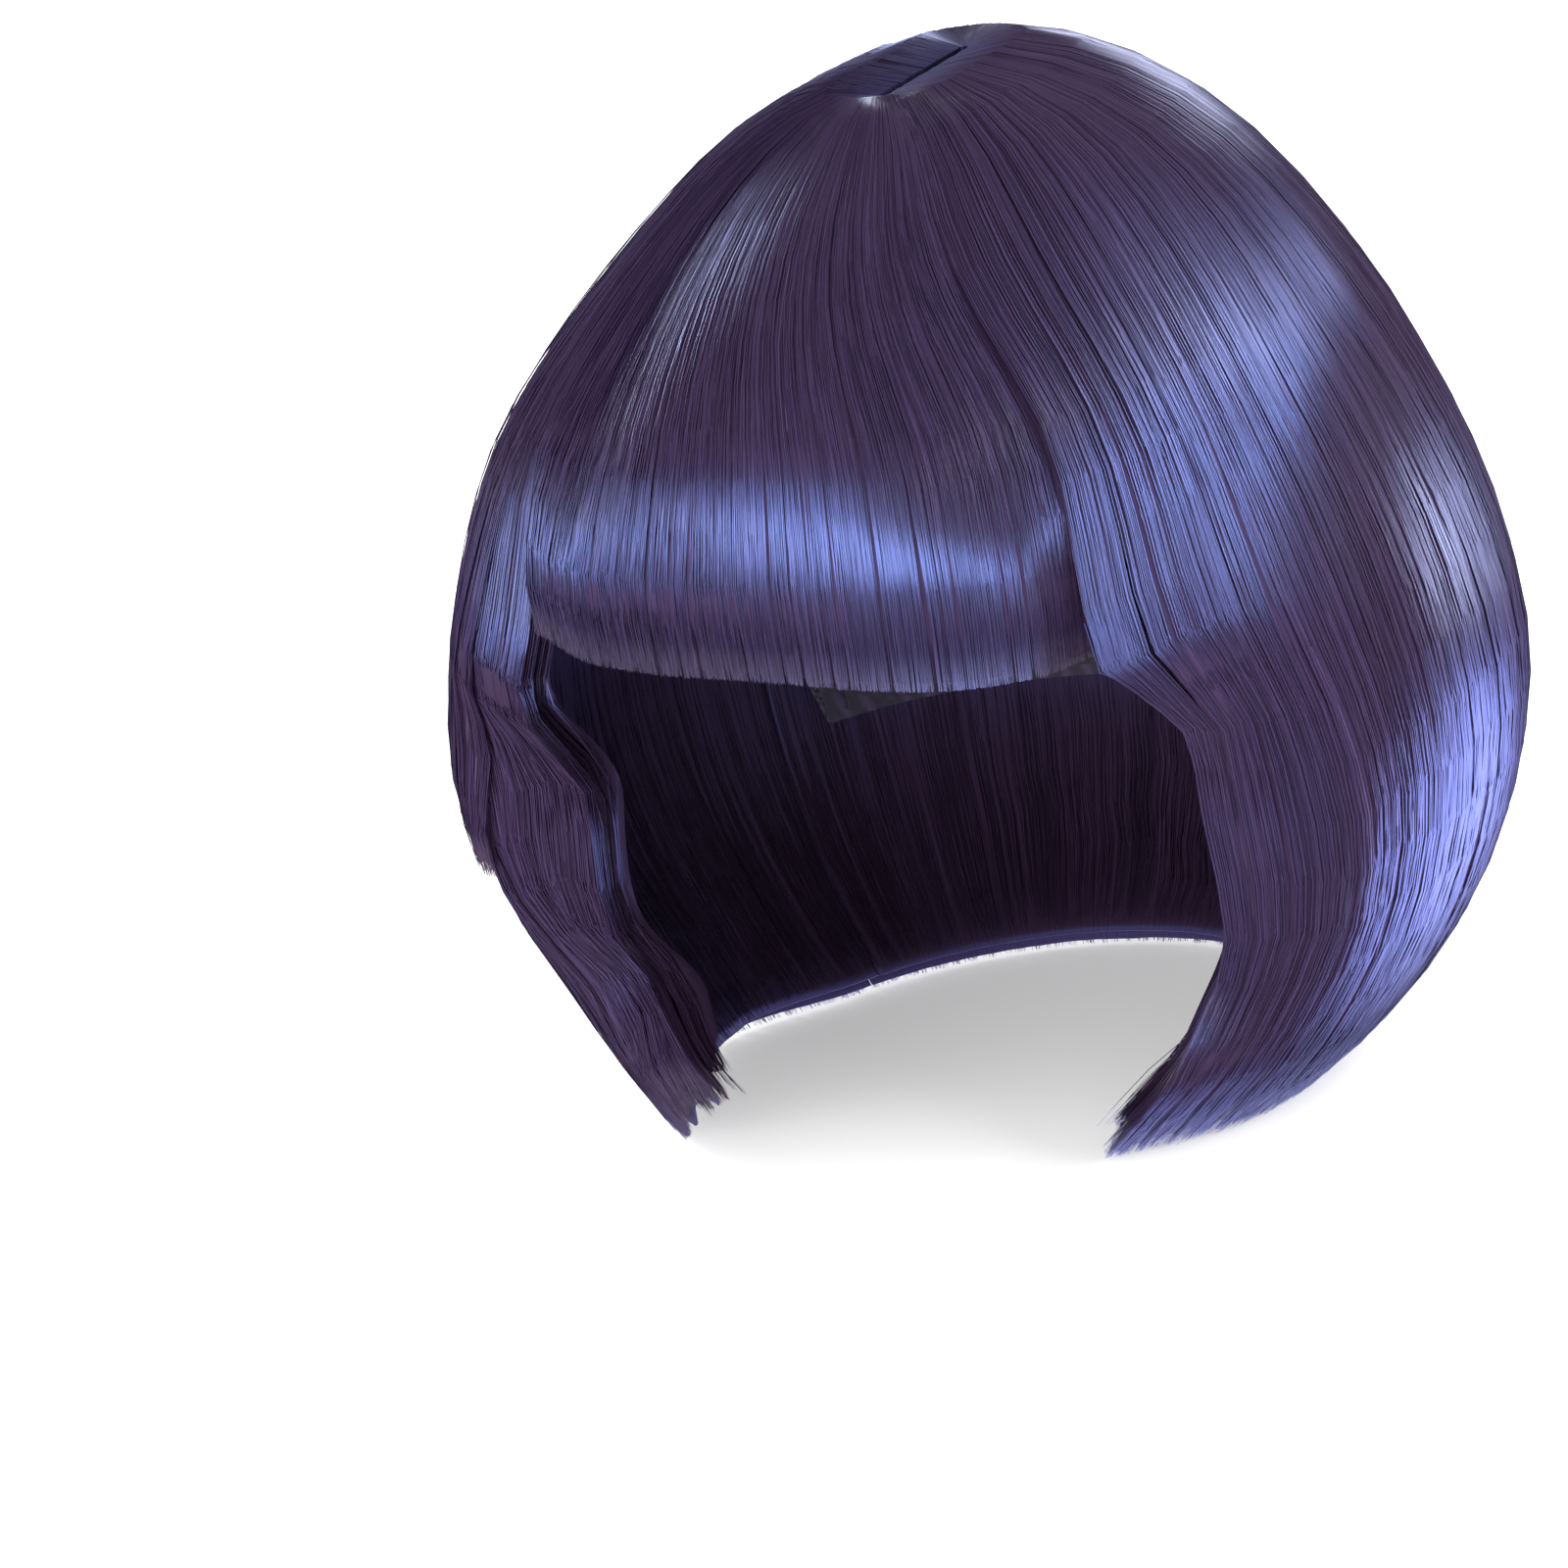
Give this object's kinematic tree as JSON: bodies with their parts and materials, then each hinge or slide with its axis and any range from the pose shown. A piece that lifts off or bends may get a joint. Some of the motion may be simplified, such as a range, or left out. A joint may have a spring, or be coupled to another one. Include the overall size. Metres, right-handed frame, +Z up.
{
  "type": "costume wig",
  "caption": "Chin-length bob wig with a full fringe: layered fibre hair on a stretch net cap with hook-and-loop adjusters at the nape.",
  "frame": {"origin": "middle of the head at its widest level, where the cap grips it", "axes": "+Z up along the head, -Y towards the face, +X towards the wearer's left"},
  "size_m": [0.2262, 0.2387, 0.2191],
  "materials": {
    "hair_fibre": "gloss",
    "inner_hair": "satin",
    "stretch_net": "matte",
    "cap_tape": "matte",
    "skin_strip": "matte",
    "weft_stitching": "matte",
    "strap_webbing": "matte",
    "hook_and_loop": "matte"
  },
  "bodies": {
    "cap": {"crown_net": "stretch_net", "front_band": "cap_tape", "left_ear_tab": "cap_tape", "right_ear_tab": "cap_tape", "nape_band": "cap_tape", "centre_ribbon": "cap_tape", "left_ribbon": "cap_tape", "right_ribbon": "cap_tape", "ear_to_ear_ribbon": "cap_tape", "skin_part": "skin_strip", "fringe_weft_track": "weft_stitching", "weft_track_1": "weft_stitching", "weft_track_2": "weft_stitching", "weft_track_3": "weft_stitching", "weft_track_4": "weft_stitching", "weft_track_5": "weft_stitching", "weft_track_6": "weft_stitching", "weft_track_7": "weft_stitching", "weft_track_8": "weft_stitching", "weft_track_9": "weft_stitching", "loop_patch": "hook_and_loop", "left_strap_tunnel": "cap_tape", "right_strap_tunnel": "cap_tape", "crown_hair_front": "hair_fibre", "crown_hair_left": "hair_fibre", "crown_hair_right": "hair_fibre", "crown_hair_back": "hair_fibre"},
    "fringe": {"fringe_hair": "hair_fibre"},
    "left_side": {"left_side_hair": "hair_fibre", "left_under_hair": "inner_hair"},
    "right_side": {"right_short_hair": "hair_fibre", "right_side_hair": "hair_fibre", "right_under_hair": "inner_hair"},
    "back": {"back_hair": "hair_fibre", "nape_hair": "inner_hair"},
    "left_adjuster": {"left_adjuster_strap": "strap_webbing", "left_hook_patch": "hook_and_loop"},
    "right_adjuster": {"right_adjuster_strap": "strap_webbing", "right_hook_patch": "hook_and_loop"}
  },
  "joints": [
    {"name": "fringe_lift", "type": "hinge", "parent": "cap", "child": "fringe", "pos_m": [0, -0.1057, 0.04], "axis": [-1, 0, 0], "range_deg": [0, 35], "stiffness_Nm_per_rad": 0.006, "springref_deg": -17.19},
    {"name": "left_side_swing", "type": "hinge", "parent": "cap", "child": "left_side", "pos_m": [0.0876, 0, 0.04], "axis": [0, -1, 0], "range_deg": [0, 35], "stiffness_Nm_per_rad": 0.012, "springref_deg": -17.19},
    {"name": "right_side_swing", "type": "hinge", "parent": "cap", "child": "right_side", "pos_m": [-0.0876, 0, 0.04], "axis": [0, 1, 0], "range_deg": [0, 35], "stiffness_Nm_per_rad": 0.012, "springref_deg": -17.19},
    {"name": "back_lift", "type": "hinge", "parent": "cap", "child": "back", "pos_m": [0, 0.1034, 0.04], "axis": [1, 0, 0], "range_deg": [0, 35], "stiffness_Nm_per_rad": 0.015, "springref_deg": -17.19},
    {"name": "left_strap_slide", "type": "hinge", "parent": "cap", "child": "left_adjuster", "pos_m": [0, 0.0185, -0.0555], "axis": [0, 0, 1], "range_deg": [0, 15]},
    {"name": "right_strap_slide", "type": "hinge", "parent": "cap", "child": "right_adjuster", "pos_m": [0, 0.0185, -0.0555], "axis": [0, 0, -1], "range_deg": [0, 15]}
  ]
}
